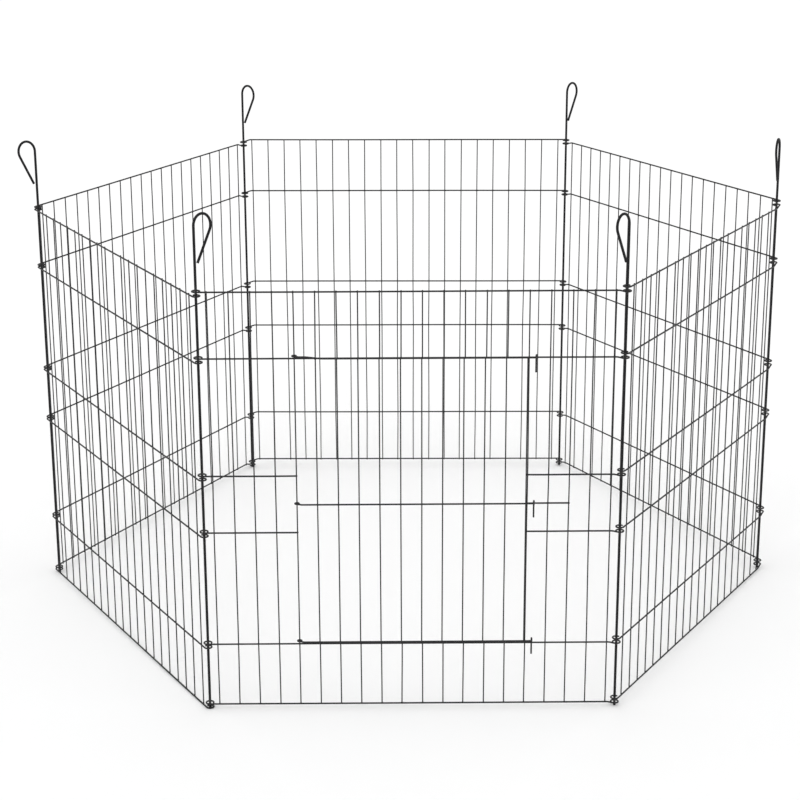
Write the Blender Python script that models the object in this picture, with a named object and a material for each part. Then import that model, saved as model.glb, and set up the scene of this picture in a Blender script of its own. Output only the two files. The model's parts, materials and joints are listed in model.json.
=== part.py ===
"""Folding wire pet playpen: six mesh panels joined by corner rods, one panel with a door.

Metres, +Z up, floor at z = 0. The door panel faces -Y and runs along X.

A panel is a welded grid of thin upright bars on the inner side of thicker rails. Both ends of
a rail are curled into an eye. The panels sit at slightly different heights, so the eyes of two
neighbours stack on their corner rod. The rod is the hinge between them, and it lifts out by the
loop bent at its top. The door is a smaller grid that hangs outside the door panel: three eyes turn
on the bar beside the doorway, and three hooks drop over the panel's wires on the other side.
"""
import math

import bmesh
import bpy
from mathutils import Matrix, Vector

# Panels: the width is from one corner rod's axis to the next.
PANEL_WIDTH = 0.580
BAR_COUNT = 20
BAR_PITCH = PANEL_WIDTH / BAR_COUNT
RAIL_GAPS = (0.0935, 0.1695, 0.0840, 0.1695, 0.0935)

# Wire sizes.
BAR_RADIUS = 0.0009
RAIL_RADIUS = 0.0012
ROD_RADIUS = 0.0019
WELD_DEPTH = 0.00035
WELD_SPACE = 0.0003

# Eyes at the rail ends, measured along the middle of the wire.
EYE_RADIUS = 0.0053
EYE_TURN = math.radians(290)
EYE_STEPS = 6
EYE_BEND_START = 0.0125

# Doorway: the bars on its two sides, counted from the left, and the rails above and below it.
HINGE_BAR = 5
LATCH_BAR = 16
KEEPER_LAST_BAR = 18
LOWER_RAIL = 1
UPPER_RAIL = 4
STUB = 0.0012

# Door: how far its rails stand out from the panel's, and how far above the panel wires its rails
# and their tight eyes ride. Each rail bends out from its eye. The top one then slopes down a
# little, from far enough out to clear the panel's rail when the door stands open.
DOOR_GAP = 0.0034
DOOR_RISES = {"bottom": 0.0040, "middle": 0.0006, "top": 0.0006}
DOOR_EYE_RISES = {"bottom": 0.0040, "middle": 0.0006, "top": 0.0031}
DOOR_EYE_RADIUS = 0.0028
DOOR_BEND_OUT = 0.0075
DOOR_SLOPE = (0.0120, 0.0400)
DOOR_EDGE_GAP = 0.0022
HOOK_REACH = 0.0095
HOOK_SHANK = 0.0016
HOOK_CROWN = 0.0026
HOOK_DROP = 0.0230
HOOK_STEPS = 5

# Corner rods: the loop at the top is a half oval with a straight leg back to the rod.
ROD_HEIGHT = 0.7252
LOOP_WIDTH = 0.0250
LOOP_CROWN = 0.0160
LOOP_LENGTH = 0.0690
LOOP_END_GAP = 0.0004
LOOP_STEPS = 10

# Each panel in turn from the door panel, anticlockwise seen from above, with its heights above the
# door panel: of its rails' left and right ends seen from outside, then of its left and right eyes.
PANELS = {"front_panel": (0.0, 0.0, 0.0, -0.0022),
          "right_front_panel": (0.0044, -0.0044, 0.0044, -0.0010),
          "right_back_panel": (0.0056, 0.0, 0.0056, -0.0022),
          "back_panel": (0.0040, 0.0064, 0.0040, 0.0032),
          "left_back_panel": (0.0, 0.0016, -0.0032, 0.0016),
          "left_front_panel": (-0.0024, -0.0064, -0.0024, -0.0064)}

# Worked out from the sizes above.
APOTHEM = PANEL_WIDTH * math.cos(math.radians(30))
BOTTOM_RAIL_Z = RAIL_RADIUS - min(min(heights) for heights in PANELS.values())
RAIL_Z = [BOTTOM_RAIL_Z + sum(RAIL_GAPS[:i]) for i in range(len(RAIL_GAPS) + 1)]
KEEPER_Z = (RAIL_Z[0] + RAIL_Z[-1]) / 2
RAIL_Y = -EYE_RADIUS
BAR_SETBACK = RAIL_RADIUS + BAR_RADIUS - WELD_DEPTH
BAR_Y = RAIL_Y + BAR_SETBACK
DOOR_Y = RAIL_Y - DOOR_GAP

# The corner at each panel's left end, with the way its rod's loop points in degrees from +X.
CORNERS = {"front_left": 30, "front_right": 224, "right": 248,
           "back_right": 42, "back_left": -32, "left": 190}

# What each corner's rod and each panel's hinge hang from, outwards from the door panel.
PANEL_PIVOTS = {"left_front_panel": "front_left", "left_back_panel": "left",
                "back_panel": "back_left", "right_front_panel": "front_right",
                "right_back_panel": "right"}
CARRIERS = {"front_left": "front_panel", "front_right": "front_panel",
            "left": "left_front_panel", "right": "right_front_panel",
            "back_left": "left_back_panel", "back_right": "back_panel"}

# The left rod's loop reaches out past the left corner, while the right corner ends in its eyes.
# The pen is moved over by half the difference, so that the origin is the middle of its box.
PEN_SHIFT = (LOOP_WIDTH + ROD_RADIUS - EYE_RADIUS - RAIL_RADIUS) / 2


def clear_scene():
    for item in list(bpy.data.objects):
        bpy.data.objects.remove(item)


def collection(name):
    made = bpy.data.collections.new(name)
    bpy.context.scene.collection.children.link(made)
    return made


def coated_steel(name, colour, roughness):
    """Black coating on steel wire."""
    material = bpy.data.materials.new(name)
    material.use_nodes = True
    shader = material.node_tree.nodes["Principled BSDF"]
    shader.inputs["Base Color"].default_value = (*colour, 1.0)
    shader.inputs["Roughness"].default_value = roughness
    shader.inputs["Metallic"].default_value = 0.0
    return material


def wires(name, paths, radius, bevel_resolution=0):
    """One mesh of separate closed wires, each along its own path."""
    curve = bpy.data.curves.new(name, "CURVE")
    curve.dimensions = "3D"
    curve.bevel_depth = radius
    curve.bevel_resolution = bevel_resolution
    curve.use_fill_caps = True
    for path in paths:
        spline = curve.splines.new("POLY")
        spline.points.add(len(path) - 1)
        for point, place in zip(spline.points, path):
            point.co = (*place, 1.0)
    source = bpy.data.objects.new(name, curve)
    bpy.context.scene.collection.objects.link(source)
    graph = bpy.context.evaluated_depsgraph_get()
    mesh = bpy.data.meshes.new_from_object(source.evaluated_get(graph))
    bpy.data.objects.remove(source)
    bpy.data.curves.remove(curve)
    weld_caps(mesh)
    return mesh


def weld_caps(mesh):
    """Joins the loose end caps of a curve's mesh to its tube."""
    shape = bmesh.new()
    shape.from_mesh(mesh)
    bmesh.ops.remove_doubles(shape, verts=shape.verts, dist=0.000001)
    bmesh.ops.recalc_face_normals(shape, faces=shape.faces)
    shape.to_mesh(mesh)
    shape.free()


def welded(name, rails, bars):
    """One mesh of two sets of wires, welded wherever they cross."""
    base = bpy.data.objects.new(name, rails)
    tool = bpy.data.objects.new(name + "_bars", bars)
    for item in (base, tool):
        bpy.context.scene.collection.objects.link(item)
    union = base.modifiers.new("weld", "BOOLEAN")
    union.operation = "UNION"
    union.solver = "EXACT"
    union.object = tool
    graph = bpy.context.evaluated_depsgraph_get()
    mesh = bpy.data.meshes.new_from_object(base.evaluated_get(graph))
    bpy.data.objects.remove(base)
    bpy.data.objects.remove(tool)
    mesh.name = name
    return mesh


def bar_x(number):
    """Place of an upright bar along its panel, from the left rod's axis."""
    return (number - 0.5) * BAR_PITCH


def eye(centre_x, centre_y, radius, z, side):
    """The curled end of a wire that arrives along -Y of the eye, going towards side (+1 or -1)."""
    points = []
    for step in range(EYE_STEPS + 1):
        angle = EYE_TURN * step / EYE_STEPS
        points.append((centre_x + side * radius * math.sin(angle),
                       centre_y - radius * math.cos(angle), z))
    return points


def height_at(x, heights):
    """How far a panel's straight rails are above the door panel's, at x along it."""
    left, right, *_ = heights
    return left + (right - left) * x / PANEL_WIDTH


def left_end(z, heights):
    """A rail's left end, from its eye to where the wire is straight."""
    points = eye(0.0, 0.0, EYE_RADIUS, z + heights[2], -1)
    points.reverse()
    return points + [(EYE_BEND_START, RAIL_Y, z + height_at(EYE_BEND_START, heights))]


def right_end(z, heights):
    """A rail's right end, from the straight wire to its eye."""
    x = PANEL_WIDTH - EYE_BEND_START
    return [(x, RAIL_Y, z + height_at(x, heights))] + eye(PANEL_WIDTH, 0.0, EYE_RADIUS, z + heights[3], 1)


def rail(z, heights):
    """A whole rail, eye to eye."""
    return left_end(z, heights) + right_end(z, heights)


def split_rail(z, heights):
    """A rail interrupted by the doorway: an eye at one end of each piece, cut square at the other."""
    left_stop = bar_x(HINGE_BAR) + STUB
    right_stop = bar_x(LATCH_BAR) - STUB
    left = left_end(z, heights) + [(left_stop, RAIL_Y, z + height_at(left_stop, heights))]
    right = [(right_stop, RAIL_Y, z + height_at(right_stop, heights))] + right_end(z, heights)
    return [left, right]


def bar(number, low, high, heights):
    """An upright bar from under its lowest rail to the top of its highest."""
    x = bar_x(number)
    raised = height_at(x, heights)
    return [(x, BAR_Y, raised + low - RAIL_RADIUS), (x, BAR_Y, raised + high + RAIL_RADIUS)]


def plain_panel(heights):
    rails = [rail(z, heights) for z in RAIL_Z]
    bars = [bar(number, RAIL_Z[0], RAIL_Z[-1], heights) for number in range(1, BAR_COUNT + 1)]
    return welded("plain_panel", wires("rails", rails, RAIL_RADIUS), wires("bars", bars, BAR_RADIUS))


def door_panel(heights):
    """A panel whose middle bars stop above and below the doorway."""
    rails = []
    for level, z in enumerate(RAIL_Z):
        if LOWER_RAIL < level < UPPER_RAIL:
            rails += split_rail(z, heights)
        else:
            rails.append(rail(z, heights))
    bars = []
    for number in range(1, BAR_COUNT + 1):
        if HINGE_BAR < number < LATCH_BAR:
            bars.append(bar(number, RAIL_Z[0], RAIL_Z[LOWER_RAIL], heights))
            bars.append(bar(number, RAIL_Z[UPPER_RAIL], RAIL_Z[-1], heights))
        else:
            bars.append(bar(number, RAIL_Z[0], RAIL_Z[-1], heights))
    return welded("door_panel", wires("rails", rails, RAIL_RADIUS), wires("bars", bars, BAR_RADIUS))


def door_levels(rises):
    """Heights above the panel's three wires that the door's hooks drop over."""
    wires_under = (RAIL_Z[LOWER_RAIL], KEEPER_Z, RAIL_Z[UPPER_RAIL])
    return [z + rise for z, rise in zip(wires_under, rises.values())]


def hook_x():
    return bar_x(LATCH_BAR) + HOOK_REACH - bar_x(HINGE_BAR)


def door():
    """The door's grid, measured from the hinge bar's axis, with its bars on the outer side."""
    levels = door_levels(DOOR_RISES)
    reach = DOOR_Y - BAR_Y
    rail_tip = hook_x() - RAIL_RADIUS - WELD_SPACE
    rails = []
    for z, eye_z in zip(levels, door_levels(DOOR_EYE_RISES)):
        curl = eye(0.0, 0.0, DOOR_EYE_RADIUS, eye_z, -1)
        curl.reverse()
        slope = [(DOOR_SLOPE[0], reach, eye_z), (DOOR_SLOPE[1], reach, z)]
        rails.append(curl + [(DOOR_BEND_OUT, reach, eye_z)] + slope + [(rail_tip, reach, z)])
    count = LATCH_BAR - HINGE_BAR
    pitch = (bar_x(LATCH_BAR) - bar_x(HINGE_BAR) - DOOR_EDGE_GAP) / count
    y = reach - BAR_SETBACK
    low = levels[0] - RAIL_RADIUS
    high = levels[-1] + RAIL_RADIUS
    bars = [[(pitch * number, y, low), (pitch * number, y, high)] for number in range(1, count + 1)]
    return welded("door", wires("rails", rails, RAIL_RADIUS), wires("bars", bars, BAR_RADIUS))


def latch_hook():
    """A hook bent from wire: up outside the panel, over its wire, and down on the inner side."""
    middle = RAIL_Y - BAR_Y
    points = [(0.0, middle - DOOR_GAP, -HOOK_SHANK)]
    for step in range(HOOK_STEPS + 1):
        angle = math.pi * step / HOOK_STEPS
        points.append((0.0, middle - DOOR_GAP * math.cos(angle), HOOK_CROWN * math.sin(angle)))
    points.append((0.0, middle + DOOR_GAP, -HOOK_DROP))
    return wires("latch_hook", [points], RAIL_RADIUS)


def keeper():
    """A short wire across three bars beside the doorway, for the middle hook."""
    y = RAIL_Y - WELD_DEPTH - WELD_SPACE
    ends = [(bar_x(LATCH_BAR) - STUB, y, KEEPER_Z), (bar_x(KEEPER_LAST_BAR) + STUB, y, KEEPER_Z)]
    return wires("latch_keeper", [ends], RAIL_RADIUS)


def corner_rod():
    """A straight rod with a pear-shaped loop at its top, in the plane of +X."""
    half = LOOP_WIDTH / 2
    shoulder = ROD_HEIGHT - ROD_RADIUS - LOOP_CROWN
    end = Vector((2 * ROD_RADIUS + LOOP_END_GAP, 0.0, ROD_HEIGHT - LOOP_LENGTH))
    # The leg is tangent to the oval. Squeezed to a circle of radius half, the tangent from the
    # leg's end is a right triangle.
    squeeze = half / LOOP_CROWN
    across = end.x - half
    down = (end.z - shoulder) * squeeze
    leave = math.atan2(down, across) + math.acos(half / math.hypot(across, down))
    points = [(0.0, 0.0, 0.0)]
    for step in range(LOOP_STEPS + 1):
        angle = math.pi + (leave - math.pi) * step / LOOP_STEPS
        points.append((half + half * math.cos(angle), 0.0, shoulder + LOOP_CROWN * math.sin(angle)))
    points.append(tuple(end))
    return wires("corner_rod", [points], ROD_RADIUS, bevel_resolution=2)


def place(name, mesh, material, where, heading, group):
    """A named piece of the pen, turned to heading about +Z."""
    piece = bpy.data.objects.new(name, mesh)
    piece.location = where
    piece.rotation_euler = (0.0, 0.0, heading)
    if not mesh.materials:
        mesh.materials.append(material)
    mesh.shade_smooth()
    mesh.set_sharp_from_angle(angle=math.radians(50))
    group.objects.link(piece)
    return piece


def corner_place(index):
    turn = Matrix.Rotation(math.radians(60 * index), 4, "Z")
    return turn @ Vector((-PANEL_WIDTH / 2, -APOTHEM, 0.0)) + Vector((PEN_SHIFT, 0.0, 0.0))


def hang(child, parent):
    """Parents a piece without moving it."""
    bpy.context.view_layer.update()
    child.parent = parent
    child.matrix_parent_inverse = parent.matrix_world.inverted()


def pivot(name, where, group):
    """An empty on a joint's axis."""
    axis = bpy.data.objects.new(name, None)
    axis.location = where
    axis.empty_display_size = 0.03
    group.objects.link(axis)
    return axis


def build():
    clear_scene()
    pen = collection("pet_playpen")
    panel_coat = coated_steel("panel_wire", (0.018, 0.018, 0.019), 0.42)
    rod_coat = coated_steel("rod_wire", (0.014, 0.014, 0.015), 0.36)
    door_coat = coated_steel("door_wire", (0.018, 0.018, 0.019), 0.42)
    latch_coat = coated_steel("latch_wire", (0.016, 0.016, 0.017), 0.40)

    pieces = {}
    for index, (name, heights) in enumerate(PANELS.items()):
        mesh = door_panel(heights) if name == "front_panel" else plain_panel(heights)
        pieces[name] = place(name, mesh, panel_coat, corner_place(index), math.radians(60 * index), pen)

    rod = corner_rod()
    rods = {}
    for index, (corner, heading) in enumerate(CORNERS.items()):
        where = corner_place(index)
        rods[corner] = place("corner_rod_" + corner, rod, rod_coat, where, math.radians(heading), pen)

    keeper_wire = place("latch_keeper", keeper(), latch_coat, corner_place(0), 0.0, pen)
    hinge_axis = corner_place(0) + Vector((bar_x(HINGE_BAR), BAR_Y, 0.0))
    door_pivot = pivot("door_pivot", hinge_axis, pen)
    door_grid = place("door", door(), door_coat, hinge_axis, 0.0, pen)
    hook = latch_hook()
    door_parts = [door_grid]
    for name, z in zip(DOOR_RISES, door_levels(DOOR_RISES)):
        where = hinge_axis + Vector((hook_x(), 0.0, z))
        door_parts.append(place("latch_hook_" + name, hook, latch_coat, where, 0.0, pen))

    hang(keeper_wire, pieces["front_panel"])
    hang(door_pivot, pieces["front_panel"])
    for part in door_parts:
        hang(part, door_pivot)
    for name, corner in PANEL_PIVOTS.items():
        axis = pivot(corner + "_pivot", corner_place(list(CORNERS).index(corner)), pen)
        hang(axis, pieces[CARRIERS[corner]])
        hang(pieces[name], axis)
    for corner, rod_piece in rods.items():
        hang(rod_piece, pieces[CARRIERS[corner]])


build()
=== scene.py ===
import json
import math
import random

import bmesh
import bpy
from mathutils import Matrix, Vector


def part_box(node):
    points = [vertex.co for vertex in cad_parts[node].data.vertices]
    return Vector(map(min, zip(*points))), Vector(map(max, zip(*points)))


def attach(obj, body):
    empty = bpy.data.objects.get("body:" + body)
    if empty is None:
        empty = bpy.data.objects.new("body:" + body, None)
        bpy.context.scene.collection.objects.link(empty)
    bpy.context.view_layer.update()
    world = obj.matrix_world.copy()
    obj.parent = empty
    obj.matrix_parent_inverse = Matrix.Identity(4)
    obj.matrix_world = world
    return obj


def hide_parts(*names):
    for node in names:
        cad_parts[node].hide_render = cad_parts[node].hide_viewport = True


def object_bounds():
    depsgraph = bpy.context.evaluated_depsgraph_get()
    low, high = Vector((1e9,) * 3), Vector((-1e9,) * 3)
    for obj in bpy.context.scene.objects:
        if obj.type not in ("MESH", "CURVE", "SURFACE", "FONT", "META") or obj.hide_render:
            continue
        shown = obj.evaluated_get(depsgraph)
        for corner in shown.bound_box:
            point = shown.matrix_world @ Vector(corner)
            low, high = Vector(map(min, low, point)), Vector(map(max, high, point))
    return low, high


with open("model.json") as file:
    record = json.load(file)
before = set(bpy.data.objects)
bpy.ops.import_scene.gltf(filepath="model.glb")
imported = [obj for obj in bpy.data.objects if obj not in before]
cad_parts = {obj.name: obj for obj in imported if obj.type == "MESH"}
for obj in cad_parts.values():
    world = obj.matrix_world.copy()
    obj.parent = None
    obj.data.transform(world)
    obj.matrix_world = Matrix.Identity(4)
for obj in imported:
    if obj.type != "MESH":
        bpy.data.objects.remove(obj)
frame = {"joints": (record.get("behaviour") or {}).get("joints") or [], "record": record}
CAD_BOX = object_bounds()

# A folding wire playpen, in metres. Every CAD piece is plain wire with a coarse section, so each
# is replaced by the same wire drawn round, with its welds, its eyes and bends, and its black coat.

RECORD = frame["record"]
CORNERS = {mount["name"].removeprefix("foot_"): Vector(mount["pos_m"]) for mount in RECORD["mounts"]}
JOINTS = {joint["name"]: joint for joint in frame["joints"]}
BODY_OF = {node: body for body, nodes in RECORD["behaviour"]["bodies"].items() for node in nodes}
SLOT_OF = {part["node"]: part["material_slot"] for part in RECORD["subparts"]}

# The corner at each panel's left end seen from outside, and its heights above the door panel: of
# its rails' left and right ends, then of its left and right eyes.
PANELS = {"front_panel": ("front_left", 0.0, 0.0, 0.0, -0.0022),
          "right_front_panel": ("front_right", 0.0044, -0.0044, 0.0044, -0.0010),
          "right_back_panel": ("right", 0.0056, 0.0, 0.0056, -0.0022),
          "back_panel": ("back_right", 0.0040, 0.0064, 0.0040, 0.0032),
          "left_back_panel": ("back_left", 0.0, 0.0016, -0.0032, 0.0016),
          "left_front_panel": ("left", -0.0024, -0.0064, -0.0024, -0.0064)}
ROUND = [CORNERS[name] for name, *_ in PANELS.values()]
PANEL_WIDTH = (ROUND[1] - ROUND[0]).length

# Wires: their radii, how finely their sections are rounded, and the spacing of points on them.
BAR_RADIUS = 0.0009
RAIL_RADIUS = 0.0012
ROD_RADIUS = 0.0019
BAR_ROUNDNESS = 4
RAIL_ROUNDNESS = 5
ROD_ROUNDNESS = 6
BAR_SPACING = 0.028
FINE_SPACING = 0.004

# A wire's cut end narrows over CUT to CUT_SHARE of its radius.
CUT = 0.00025
CUT_SHARE = 0.8

# Meshes: points this near are one, faces thinner than this go, and steeper edges look sharp.
SAME_POINT = 0.000001
SLIVER = 0.00001
SHARP_EDGE = math.radians(42)

# Welds: how far two wires sink into each other, and the bead's half sizes and their spread.
WELD_DEPTH = 0.00035
WELD_BEAD = (0.00145, 0.00080, 0.00130)
WELD_SPREAD = (0.92, 1.12)

# Panel grid. The sways are how far welds and rails stray from it.
BAR_COUNT = 20
BAR_PITCH = PANEL_WIDTH / BAR_COUNT
RAIL_GAPS = (0.0935, 0.1695, 0.0840, 0.1695, 0.0935)
EYE_RADIUS = 0.0053
EYE_TURN = math.radians(290)
BEND_START = 0.0125
EYE_STACK = 0.0080
RAIL_Y = -EYE_RADIUS
BAR_Y = RAIL_Y + RAIL_RADIUS + BAR_RADIUS - WELD_DEPTH
FLOOR_Z = CAD_BOX[0].z
BOTTOM_RAIL_Z = FLOOR_Z + RAIL_RADIUS - min(min(heights) for _, *heights in PANELS.values())
RAIL_Z = [BOTTOM_RAIL_Z + sum(RAIL_GAPS[:i]) for i in range(len(RAIL_GAPS) + 1)]
BAR_SWAY = 0.0004
RAIL_SWAY = 0.0002

# Doorway and door. Bars are counted from a panel's left end, from 1, and rails from the lowest, 0.
HINGE_BAR = 5
LATCH_BAR = 16
KEEPER_LAST_BAR = 18
LOWER_RAIL = 1
UPPER_RAIL = 4
STUB = 0.0012
DOOR_GAP = 0.0034
DOOR_EYE_RADIUS = 0.0028
DOOR_EYE_LIFTS = (0.0, 0.0, 0.0025)
DOOR_BEND_OUT = 0.0075
DOOR_SLOPE = (0.0120, 0.0400)
DOOR_EDGE_GAP = 0.0022
DOOR_RAIL_END = 0.5 * RAIL_RADIUS
DOOR_TIP_WELD = 0.9 * RAIL_RADIUS
HOOK_CROWN = 0.0026
HOOK_SHANK = 0.0016
HOOK_DROP = 0.0230
HOOKS = ("bottom", "middle", "top")

# Rod loops.
LOOP_WIDTH = 0.0250
LOOP_CROWN = 0.0160
LOOP_LENGTH = 0.0690
LOOP_END_GAP = 0.0004

# Worn places: how far inside an eye's middle line they begin and how fast they grow, and how far
# they reach along a hook and along the keeper.
EYE_WEAR_START = 0.0002
EYE_WEAR_FADE = 0.0006
HOOK_WEAR_Z = 0.0004
HOOK_WEAR_REACH = 0.0014
KEEPER_WEAR_REACH = 0.004

# Each slot's coat: its colour, roughness, sheen, and how deep its rubbed places are worn.
COAT_LOOKS = {"panel_wire": ((0.012, 0.012, 0.013), 0.44, 0.24, 0.5),
              "rod_wire": ((0.007, 0.007, 0.008), 0.40, 0.16, 0.6),
              "door_wire": ((0.012, 0.012, 0.013), 0.44, 0.24, 0.5),
              "latch_wire": ((0.011, 0.011, 0.012), 0.40, 0.22, 0.7)}
DEEP_SHARE = 0.72
LIGHT_SHARE = 1.45
DUSTY_SHARE = 3.2
WORN_COLOUR = (0.16, 0.155, 0.15)

# Ranges of a texture's value.
FULL = (0.0, 1.0)
MIDDLE = (0.3, 0.7)
MOST = (0.2, 0.8)

# Floor and light, with angles in degrees.
FLOOR_REACH = 60.0
FLOOR_CELLS = 24
FLOOR_GAP = 0.0002
FLOOR_TONES = (0.925, 0.935)
ROOM_STRENGTH = 1.0
KEY_STRENGTH = 0.48
KEY_SPREAD = 50
KEY_TILT = (38, -22)

# Camera, in metres and degrees, and its lens and frame in millimetres.
CAMERA_PLACE = Vector((-0.0216, -3.2208, 1.3596))
CAMERA_PITCH = 18.263
CAMERA_YAW = -0.330
CAMERA_ROLL = 0.208
CAMERA_LENS = 94.28
CAMERA_FRAME = 36.0
CAMERA_CLIP = (0.05, 300.0)


def principled(name):
    """A new material, its node tree and its shader."""
    material = bpy.data.materials.new(name)
    material.use_nodes = True
    tree = material.node_tree
    return material, tree, tree.nodes["Principled BSDF"]


def noise(tree, coordinates, scale, detail, roughness=0.5):
    """A noise texture's value over the piece's own coordinates."""
    node = tree.nodes.new("ShaderNodeTexNoise")
    node.inputs["Scale"].default_value = scale
    node.inputs["Detail"].default_value = detail
    node.inputs["Roughness"].default_value = roughness
    tree.links.new(coordinates, node.inputs["Vector"])
    return node.outputs["Fac"]


def spread(tree, value, source, target):
    """Maps a value's range onto another, clamped. Both are (lowest, highest)."""
    node = tree.nodes.new("ShaderNodeMapRange")
    sockets = ("From Min", "From Max", "To Min", "To Max")
    for socket, number in zip(sockets, (*source, *target)):
        node.inputs[socket].default_value = number
    tree.links.new(value, node.inputs["Value"])
    return node.outputs["Result"]


def math_node(tree, operation, first, second):
    """The clamped result of an operation on two values, each a number or another node's output."""
    node = tree.nodes.new("ShaderNodeMath")
    node.operation = operation
    node.use_clamp = True
    for socket, value in zip(node.inputs, (first, second)):
        if isinstance(value, float):
            socket.default_value = value
        else:
            tree.links.new(value, socket)
    return node.outputs[0]


def mix_colour(tree, share, first, second):
    """A colour between two others, each fixed or another node's output."""
    node = tree.nodes.new("ShaderNodeMix")
    node.data_type = "RGBA"
    tree.links.new(share, node.inputs["Factor"])
    for socket, value in ((node.inputs[6], first), (node.inputs[7], second)):
        if isinstance(value, tuple):
            socket.default_value = (*value, 1.0)
        else:
            tree.links.new(value, socket)
    return node.outputs[2]


def coated_wire(name, colour, roughness, sheen, rubbed):
    """Black electro-coat on drawn steel wire: faint clouding, a fine orange peel, specks, and the
    places where wires rub worn smooth and a little greyer."""
    material, tree, shader = principled(name)
    place = tree.nodes.new("ShaderNodeTexCoord").outputs["Object"]
    clouds = noise(tree, place, scale=70.0, detail=3.0)
    peel = noise(tree, place, scale=1500.0, detail=2.0, roughness=0.45)
    grit = noise(tree, place, scale=5200.0, detail=1.0)
    specks = spread(tree, noise(tree, place, scale=900.0, detail=2.0), (0.66, 0.72), FULL)

    wear = tree.nodes.new("ShaderNodeAttribute")
    wear.attribute_name = "wear"
    patchy = noise(tree, place, scale=420.0, detail=4.0, roughness=0.6)
    patches = spread(tree, patchy, (0.35, 0.62), FULL)
    worn = math_node(tree, "MULTIPLY", wear.outputs["Fac"], patches)
    worn = math_node(tree, "MULTIPLY", worn, rubbed)

    deep = tuple(DEEP_SHARE * part for part in colour)
    light = tuple(LIGHT_SHARE * part for part in colour)
    dusty = tuple(DUSTY_SHARE * part for part in colour)
    coat = mix_colour(tree, spread(tree, clouds, MIDDLE, FULL), deep, light)
    coat = mix_colour(tree, specks, coat, dusty)
    tree.links.new(mix_colour(tree, worn, coat, WORN_COLOUR), shader.inputs["Base Color"])

    gloss = spread(tree, clouds, MIDDLE, (roughness - 0.06, roughness + 0.07))
    gloss = math_node(tree, "ADD", gloss, spread(tree, peel, MIDDLE, (0.0, 0.05)))
    polish = math_node(tree, "MULTIPLY", worn, 0.2)
    tree.links.new(math_node(tree, "SUBTRACT", gloss, polish), shader.inputs["Roughness"])
    tree.links.new(math_node(tree, "MULTIPLY", worn, 0.75), shader.inputs["Metallic"])
    shader.inputs["Specular IOR Level"].default_value = sheen

    dimples = spread(tree, peel, MOST, (0.0, 0.7))
    height = math_node(tree, "ADD", dimples, spread(tree, grit, MOST, (0.0, 0.3)))
    bump = tree.nodes.new("ShaderNodeBump")
    bump.inputs["Strength"].default_value = 0.35
    bump.inputs["Distance"].default_value = 0.00012
    tree.links.new(height, bump.inputs["Height"])
    tree.links.new(bump.outputs["Normal"], shader.inputs["Normal"])
    return material


def studio_floor():
    """Pale, almost white, with a faint unevenness."""
    material, tree, shader = principled("studio_floor")
    place = tree.nodes.new("ShaderNodeTexCoord").outputs["Object"]
    cloud = spread(tree, noise(tree, place, scale=1.3, detail=2.0), MIDDLE, FULL)
    dim, bright = ((tone, tone, tone) for tone in FLOOR_TONES)
    tone = mix_colour(tree, cloud, dim, bright)
    tree.links.new(tone, shader.inputs["Base Color"])
    shader.inputs["Roughness"].default_value = 0.9
    shader.inputs["Specular IOR Level"].default_value = 0.0
    return material


def wires(name, paths, radius, roundness):
    """One mesh of round wires, each along its own path, with the edges of its cut ends rounded."""
    curve = bpy.data.curves.new(name, "CURVE")
    curve.dimensions = "3D"
    curve.bevel_depth = radius
    curve.bevel_resolution = roundness
    curve.use_fill_caps = True
    for path in paths:
        points = [Vector(point) for point in path]
        first = points[0] + (points[1] - points[0]).normalized() * CUT
        last = points[-1] + (points[-2] - points[-1]).normalized() * CUT
        points = [points[0], first] + points[1:-1] + [last, points[-1]]
        spline = curve.splines.new("POLY")
        spline.points.add(len(points) - 1)
        for point, where in zip(spline.points, points):
            point.co = (*where, 1.0)
        spline.points[0].radius = CUT_SHARE
        spline.points[-1].radius = CUT_SHARE
    source = bpy.data.objects.new(name, curve)
    bpy.context.scene.collection.objects.link(source)
    graph = bpy.context.evaluated_depsgraph_get()
    mesh = bpy.data.meshes.new_from_object(source.evaluated_get(graph))
    bpy.data.objects.remove(source)
    bpy.data.curves.remove(curve)
    shape = bmesh.new()
    shape.from_mesh(mesh)
    bmesh.ops.remove_doubles(shape, verts=shape.verts, dist=SAME_POINT)
    bmesh.ops.recalc_face_normals(shape, faces=shape.faces)
    shape.to_mesh(mesh)
    shape.free()
    return mesh


def nuggets(name, places):
    """One mesh of resistance welds: a flattened bead of metal squeezed out round each crossing.
    Each place comes with the generator that draws its size."""
    length, depth, height = WELD_BEAD
    shape = bmesh.new()
    for where, draw in places:
        size = draw.uniform(*WELD_SPREAD)
        squash = Matrix.Diagonal((length * size, depth, height * size, 1.0))
        bmesh.ops.create_uvsphere(shape, u_segments=10, v_segments=6, radius=1.0,
                                  matrix=Matrix.Translation(where) @ squash)
    mesh = bpy.data.meshes.new(name)
    shape.to_mesh(mesh)
    shape.free()
    return mesh


def joined(name, meshes):
    """One closed mesh of several sets of wires and welds, without the union's slivers."""
    items = [bpy.data.objects.new(name + "_part", mesh) for mesh in meshes]
    for item in items:
        bpy.context.scene.collection.objects.link(item)
    for tool in items[1:]:
        union = items[0].modifiers.new("weld", "BOOLEAN")
        union.operation = "UNION"
        union.solver = "MANIFOLD"
        union.object = tool
    graph = bpy.context.evaluated_depsgraph_get()
    mesh = bpy.data.meshes.new_from_object(items[0].evaluated_get(graph))
    for item in items:
        bpy.data.objects.remove(item)
    shape = bmesh.new()
    shape.from_mesh(mesh)
    bmesh.ops.dissolve_degenerate(shape, edges=shape.edges, dist=SLIVER)
    shape.to_mesh(mesh)
    shape.free()
    mesh.name = name
    return mesh


def bar_x(number):
    """Place of an upright bar along its panel, from the left rod's axis."""
    return (number - 0.5) * BAR_PITCH


def smooth(share):
    """Eases a share from 0 to 1 in and out."""
    return share * share * (3 - 2 * share)


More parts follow.
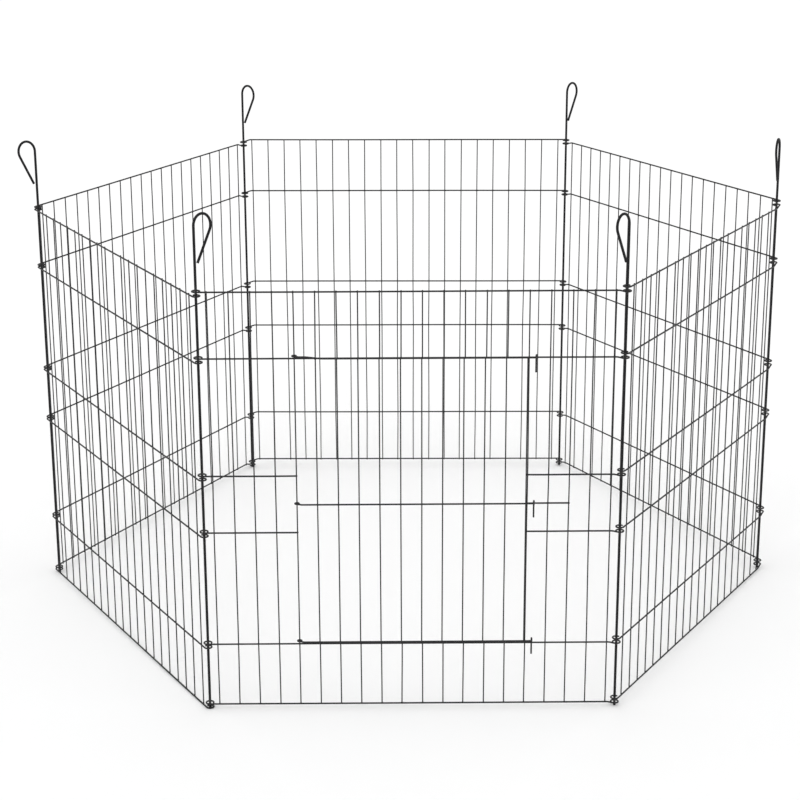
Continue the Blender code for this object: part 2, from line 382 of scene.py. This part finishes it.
def eye(centre_x, radius, z, side):
    """The curled end of a wire that arrives along -Y of the eye, going towards side (+1 or -1)."""
    steps = 26
    points = []
    for step in range(steps + 1):
        angle = EYE_TURN * step / steps
        x = centre_x + side * radius * math.sin(angle)
        points.append(Vector((x, -radius * math.cos(angle), z)))
    return points


def bend_to_eye(straight_x, straight_z, eye_x, eye_z):
    """The bend from a rail's straight part up or down to its eye, walked towards the eye."""
    steps = 7
    points = []
    for step in range(steps):
        share = step / steps
        x = straight_x + (eye_x - straight_x) * share
        points.append(Vector((x, RAIL_Y, straight_z + (eye_z - straight_z) * smooth(share))))
    return points


class PanelGrid:
    """One panel's wires in its own frame: X from its left rod to its right one, +Y into the pen."""

    def __init__(self, name, heights):
        self.name = name
        self.heights = heights
        self.has_door = name == "front_panel"
        self.draw = random.Random(name)
        self.sway = [[self.draw.uniform(-BAR_SWAY, BAR_SWAY) for _ in RAIL_Z]
                     for _ in range(BAR_COUNT + 1)]
        if self.has_door:
            self.sway[HINGE_BAR] = [0.0] * len(RAIL_Z)

    def height_at(self, x):
        """How far the panel's straight rails are above the door panel's."""
        left, right, *_ = self.heights
        return left + (right - left) * x / PANEL_WIDTH

    def left_end(self, z):
        """A rail's left end, from its eye to where the wire is straight."""
        straight_z = z + self.height_at(BEND_START)
        eye_z = z + self.heights[2]
        points = bend_to_eye(BEND_START, straight_z, 0.0, eye_z) + eye(0.0, EYE_RADIUS, eye_z, -1)
        points.reverse()
        return points

    def right_end(self, z):
        """A rail's right end, from the straight wire to its eye."""
        x = PANEL_WIDTH - BEND_START
        eye_z = z + self.heights[3]
        bend = bend_to_eye(x, z + self.height_at(x), PANEL_WIDTH, eye_z)
        return bend + eye(PANEL_WIDTH, EYE_RADIUS, eye_z, 1)

    def straight_run(self, first_x, last_x, z):
        """A rail's straight part, between its ends, with the slight wave of straightened wire."""
        single, double = (self.draw.uniform(-RAIL_SWAY, RAIL_SWAY) for _ in range(2))
        count = max(2, round((last_x - first_x) / BAR_PITCH))
        points = []
        for step in range(1, count):
            share = step / count
            x = first_x + (last_x - first_x) * share
            wave = single * math.sin(math.pi * share) + double * math.sin(2 * math.pi * share)
            points.append(Vector((x, RAIL_Y, z + self.height_at(x) + wave)))
        return points

    def split_rail(self, z):
        """The two parts of a rail that stops at the doorway's sides."""
        left_x = bar_x(HINGE_BAR) + STUB
        right_x = bar_x(LATCH_BAR) - STUB
        left_tip = Vector((left_x, RAIL_Y, z + self.height_at(left_x)))
        right_tip = Vector((right_x, RAIL_Y, z + self.height_at(right_x)))
        left_part = self.left_end(z) + self.straight_run(BEND_START, left_x, z) + [left_tip]
        right_run = self.straight_run(right_x, PANEL_WIDTH - BEND_START, z)
        return [left_part, [right_tip] + right_run + self.right_end(z)]

    def whole_rail(self, z):
        run = self.straight_run(BEND_START, PANEL_WIDTH - BEND_START, z)
        return self.left_end(z) + run + self.right_end(z)

    def rail_paths(self):
        paths = []
        for level, z in enumerate(RAIL_Z):
            if self.has_door and LOWER_RAIL < level < UPPER_RAIL:
                paths += self.split_rail(z)
            else:
                paths.append(self.whole_rail(z))
        return paths

    def bar_place(self, number, z):
        """A bar's middle, where z is a height on the door panel. Its welds are a little off the
        grid."""
        level = sum(z > inner_rail for inner_rail in RAIL_Z[1:-1])
        share = (z - RAIL_Z[level]) / (RAIL_Z[level + 1] - RAIL_Z[level])
        share = smooth(min(1.0, max(0.0, share)))
        offsets = self.sway[number]
        offset = offsets[level] * (1 - share) + offsets[level + 1] * share
        return Vector((bar_x(number) + offset, BAR_Y, z + self.height_at(bar_x(number))))

    def bar_spans(self, number):
        """The runs of rails that a bar's pieces cross, as (lowest, highest)."""
        if self.has_door and HINGE_BAR < number < LATCH_BAR:
            return [(0, LOWER_RAIL), (UPPER_RAIL, len(RAIL_Z) - 1)]
        return [(0, len(RAIL_Z) - 1)]

    def bar_paths(self):
        paths = []
        for number in range(1, BAR_COUNT + 1):
            for lowest, highest in self.bar_spans(number):
                low = RAIL_Z[lowest] - RAIL_RADIUS
                high = RAIL_Z[highest] + RAIL_RADIUS
                steps = max(3, round((high - low) / BAR_SPACING))
                paths.append([self.bar_place(number, low + (high - low) * step / steps)
                              for step in range(steps + 1)])
        return paths

    def weld_places(self):
        places = []
        for number in range(1, BAR_COUNT + 1):
            for lowest, highest in self.bar_spans(number):
                for level in range(lowest, highest + 1):
                    place = self.bar_place(number, RAIL_Z[level])
                    place.y = RAIL_Y + RAIL_RADIUS - WELD_DEPTH / 2
                    places.append((place, self.draw))
        return places

    def mesh(self):
        rails = wires("rails", self.rail_paths(), RAIL_RADIUS, RAIL_ROUNDNESS)
        bars = wires("bars", self.bar_paths(), BAR_RADIUS, BAR_ROUNDNESS)
        return joined(self.name + "_wire", [rails, bars, nuggets("welds", self.weld_places())])


def finish_piece(node, mesh, where, heading):
    """Puts a piece in place of its CAD node, on the same body and in the same slot."""
    piece = bpy.data.objects.new(node + "_wire", mesh)
    bpy.context.scene.collection.objects.link(piece)
    piece.matrix_world = Matrix.Translation(where) @ Matrix.Rotation(heading, 4, "Z")
    mesh.materials.clear()
    mesh.materials.append(COATS[SLOT_OF[node]])
    mesh.shade_smooth()
    mesh.set_sharp_from_angle(angle=SHARP_EDGE)
    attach(piece, BODY_OF[node])
    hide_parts(node)


def paint_wear(mesh, amount):
    """Stores how rubbed each point of a piece is, from amount(point), 0 to 1."""
    attribute = mesh.attributes.new("wear", "FLOAT", "POINT")
    attribute.data.foreach_set("value", [amount(vertex.co) for vertex in mesh.vertices])


def inner_wear(radius, distance):
    """How rubbed an eye is at a distance from its axis: only on its inner side."""
    return max(0.0, min(1.0, (radius - EYE_WEAR_START - distance) / EYE_WEAR_FADE))


def eye_wear(point):
    """Rails are rubbed in their eyes by the rods."""
    nearest = min(point.xy.length, (point.xy - Vector((PANEL_WIDTH, 0.0))).length)
    return inner_wear(EYE_RADIUS, nearest)


def heading_of(index):
    """The way a panel runs from its left corner to its right one."""
    along = ROUND[(index + 1) % len(ROUND)] - ROUND[index]
    return math.atan2(along.y, along.x)


def build_panels():
    for index, (node, (corner, *heights)) in enumerate(PANELS.items()):
        mesh = PanelGrid(node, heights).mesh()
        paint_wear(mesh, eye_wear)
        finish_piece(node, mesh, CORNERS[corner], heading_of(index))


def rod_path():
    """A straight rod and its pear-shaped loop, in the plane of +X."""
    half = LOOP_WIDTH / 2
    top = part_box("corner_rod_left")[1].z
    shoulder = top - ROD_RADIUS - LOOP_CROWN
    end = Vector((2 * ROD_RADIUS + LOOP_END_GAP, 0.0, top - LOOP_LENGTH))
    squeeze = half / LOOP_CROWN
    across = end.x - half
    down = (end.z - shoulder) * squeeze
    leave = math.atan2(down, across) + math.acos(half / math.hypot(across, down))
    straight_steps = 24
    turn_steps = 40
    end_steps = 4
    foot = Vector((0.0, 0.0, FLOOR_Z))
    neck = Vector((0.0, 0.0, shoulder))
    points = [foot.lerp(neck, step / straight_steps) for step in range(straight_steps)]
    for step in range(turn_steps + 1):
        angle = math.pi + (leave - math.pi) * step / turn_steps
        x = half + half * math.cos(angle)
        points.append(Vector((x, 0.0, shoulder + LOOP_CROWN * math.sin(angle))))
    turned = points[-1]
    points += [turned.lerp(end, step / end_steps) for step in range(1, end_steps + 1)]
    return points


def rod_wear(point):
    """Rods are rubbed where the rails' eyes turn on them."""
    if point.xy.length > 1.5 * ROD_RADIUS or point.z > RAIL_Z[-1] + EYE_STACK:
        return 0.0
    nearest = min(abs(point.z - z) for z in RAIL_Z)
    return max(0.0, 1.0 - nearest / EYE_STACK)


def densified(path, spacing):
    """The same path with points no further apart than spacing."""
    points = [path[0]]
    for start, stop in zip(path, path[1:]):
        count = max(1, math.ceil((stop - start).length / spacing))
        points += [start.lerp(stop, step / count) for step in range(1, count + 1)]
    return points


def build_rods():
    for corner, where in CORNERS.items():
        node = "corner_rod_" + corner
        low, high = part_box(node)
        middle = (low + high) / 2 - where
        heading = math.atan2(middle.y, middle.x)
        path = densified(rod_path(), FINE_SPACING)
        mesh = wires(node + "_wire", [path], ROD_RADIUS, ROD_ROUNDNESS)
        paint_wear(mesh, rod_wear)
        finish_piece(node, mesh, where, heading)


class DoorGrid:
    """The door's wires in its own frame, which stands on the floor at the hinge bar's axis, with X
    towards the hooks."""

    def __init__(self):
        self.axis = Vector(JOINTS["door_swing"]["pos_m"])
        self.axis.z = FLOOR_Z
        boxes = [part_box("latch_hook_" + name) for name in HOOKS]
        self.levels = [low.z + HOOK_DROP - FLOOR_Z for low, high in boxes]
        self.hook_x = (boxes[0][0].x + boxes[0][1].x) / 2 - self.axis.x
        self.rail_y = RAIL_Y - BAR_Y - DOOR_GAP
        self.bar_y = self.rail_y + RAIL_Y - BAR_Y
        self.bar_count = LATCH_BAR - HINGE_BAR
        self.pitch = (bar_x(LATCH_BAR) - bar_x(HINGE_BAR) - DOOR_EDGE_GAP) / self.bar_count
        self.draw = random.Random("door")

    def rail_path(self, z, lift):
        """A rail from its eye, which is lifted above the rest of it, to its tip at the hook."""
        bend_steps = 6
        slope_steps = 8
        points = eye(0.0, DOOR_EYE_RADIUS, z + lift, -1)
        points.reverse()
        for step in range(1, bend_steps + 1):
            y = -DOOR_EYE_RADIUS + (self.rail_y + DOOR_EYE_RADIUS) * smooth(step / bend_steps)
            points.append(Vector((DOOR_BEND_OUT * step / bend_steps, y, z + lift)))
        for step in range(slope_steps + 1):
            x = DOOR_SLOPE[0] + (DOOR_SLOPE[1] - DOOR_SLOPE[0]) * step / slope_steps
            height = z + lift * (1 - smooth(step / slope_steps))
            points.append(Vector((x, self.rail_y, height)))
        tip = Vector((self.hook_x - DOOR_RAIL_END, self.rail_y, z))
        return points + densified([points[-1], tip], BAR_PITCH)[1:]

    def rail_paths(self):
        return [self.rail_path(z, lift) for z, lift in zip(self.levels, DOOR_EYE_LIFTS)]

    def bar_places(self):
        """Each bar's middle at each level."""
        places = []
        for number in range(1, self.bar_count + 1):
            x = self.pitch * number
            sways = [self.draw.uniform(-BAR_SWAY, BAR_SWAY) / 2 for _ in self.levels]
            places.append([Vector((x + sway, self.bar_y, z))
                           for sway, z in zip(sways, self.levels)])
        return places

    def mesh(self):
        places = self.bar_places()
        overhang = Vector((0.0, 0.0, RAIL_RADIUS))
        bars = [densified([low - overhang, middle, high + overhang], BAR_SPACING)
                for low, middle, high in places]
        face = Vector((0.0, BAR_Y - RAIL_Y - RAIL_RADIUS + WELD_DEPTH / 2, 0.0))
        welds = [(where + face, self.draw) for levels in places for where in levels]
        tip_x = self.hook_x - DOOR_TIP_WELD
        welds += [(Vector((tip_x, self.rail_y, z)), self.draw) for z in self.levels]
        rail_wires = wires("rails", self.rail_paths(), RAIL_RADIUS, RAIL_ROUNDNESS)
        bar_wires = wires("bars", bars, BAR_RADIUS, BAR_ROUNDNESS)
        return joined("door_wire", [rail_wires, bar_wires, nuggets("welds", welds)])


def door_wear(point):
    """The door's rails are rubbed in their eyes by the bar that they turn on."""
    return inner_wear(DOOR_EYE_RADIUS, point.xy.length)


def hook_path():
    """Up outside the panel, over its wire and down inside, from the height of the door's rail."""
    middle = RAIL_Y - BAR_Y
    steps = 18
    points = [Vector((0.0, middle - DOOR_GAP, -HOOK_SHANK))]
    for step in range(steps + 1):
        angle = math.pi * step / steps
        y = middle - DOOR_GAP * math.cos(angle)
        points.append(Vector((0.0, y, HOOK_CROWN * math.sin(angle))))
    tip = Vector((0.0, middle + DOOR_GAP, -HOOK_DROP))
    return points + densified([points[-1], tip], FINE_SPACING)[1:]


def hook_wear(point):
    """A hook is rubbed under its arch."""
    return max(0.0, min(1.0, 1.0 - abs(point.z - HOOK_WEAR_Z) / HOOK_WEAR_REACH))


def build_door():
    door = DoorGrid()
    mesh = door.mesh()
    paint_wear(mesh, door_wear)
    finish_piece("door", mesh, door.axis, 0.0)
    for name, z in zip(HOOKS, door.levels):
        node = "latch_hook_" + name
        hook = wires(node + "_wire", [hook_path()], RAIL_RADIUS, RAIL_ROUNDNESS)
        paint_wear(hook, hook_wear)
        finish_piece(node, hook, door.axis + Vector((door.hook_x, 0.0, z)), 0.0)


def build_keeper():
    """The short wire that the middle hook drops over, welded to the bars like a rail."""
    low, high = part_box("latch_keeper")
    origin = CORNERS["front_left"]
    z = (low.z + high.z) / 2
    ends = [Vector((x - origin.x, RAIL_Y, z)) for x in (low.x, high.x)]
    weld_y = RAIL_Y + RAIL_RADIUS - WELD_DEPTH / 2
    welds = [(Vector((bar_x(number), weld_y, z)), random.Random(number))
             for number in range(LATCH_BAR, KEEPER_LAST_BAR + 1)]
    path = densified(ends, FINE_SPACING)
    keeper = wires("keeper", [path], RAIL_RADIUS, RAIL_ROUNDNESS)
    mesh = joined("latch_keeper_wire", [keeper, nuggets("welds", welds)])
    hook_low, hook_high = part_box("latch_hook_middle")
    hook_x = (hook_low.x + hook_high.x) / 2 - origin.x
    paint_wear(mesh, lambda point: max(0.0, 1.0 - abs(point.x - hook_x) / KEEPER_WEAR_REACH))
    finish_piece("latch_keeper", mesh, origin, 0.0)


def build_floor():
    shape = bmesh.new()
    bmesh.ops.create_grid(shape, x_segments=FLOOR_CELLS, y_segments=FLOOR_CELLS, size=FLOOR_REACH)
    mesh = bpy.data.meshes.new("studio_floor")
    shape.to_mesh(mesh)
    shape.free()
    floor = bpy.data.objects.new("studio_floor", mesh)
    bpy.context.scene.collection.objects.link(floor)
    floor.location.z = FLOOR_Z - FLOOR_GAP
    mesh.materials.append(studio_floor())


def build_light():
    """An even white room and one broad, soft key from high on the left."""
    world = bpy.data.worlds.new("studio")
    world.use_nodes = True
    background = world.node_tree.nodes["Background"]
    background.inputs["Color"].default_value = (1.0, 1.0, 1.0, 1.0)
    background.inputs["Strength"].default_value = ROOM_STRENGTH
    bpy.context.scene.world = world
    key = bpy.data.lights.new("key", "SUN")
    key.energy = KEY_STRENGTH
    key.angle = math.radians(KEY_SPREAD)
    lamp = bpy.data.objects.new("key", key)
    lamp.rotation_euler = (math.radians(KEY_TILT[0]), math.radians(KEY_TILT[1]), 0.0)
    bpy.context.scene.collection.objects.link(lamp)
    bpy.context.scene.view_settings.view_transform = "Standard"


def build_camera():
    """A standing person's view from in front of the door, a little over three metres away."""
    view = bpy.data.cameras.new("camera")
    view.sensor_width = CAMERA_FRAME
    view.lens = CAMERA_LENS
    view.clip_start, view.clip_end = CAMERA_CLIP
    camera = bpy.data.objects.new("camera", view)
    tilt = Matrix.Rotation(math.radians(90 - CAMERA_PITCH), 4, "X")
    turn = Matrix.Rotation(math.radians(CAMERA_YAW), 4, "Z")
    roll = Matrix.Rotation(math.radians(-CAMERA_ROLL), 4, "Z")
    camera.matrix_world = Matrix.Translation(CAMERA_PLACE) @ turn @ tilt @ roll
    bpy.context.scene.collection.objects.link(camera)
    bpy.context.scene.camera = camera


COATS = {slot: coated_wire(slot + "_coat", *look) for slot, look in COAT_LOOKS.items()}
build_panels()
build_rods()
build_door()
build_keeper()
build_floor()
build_light()
build_camera()
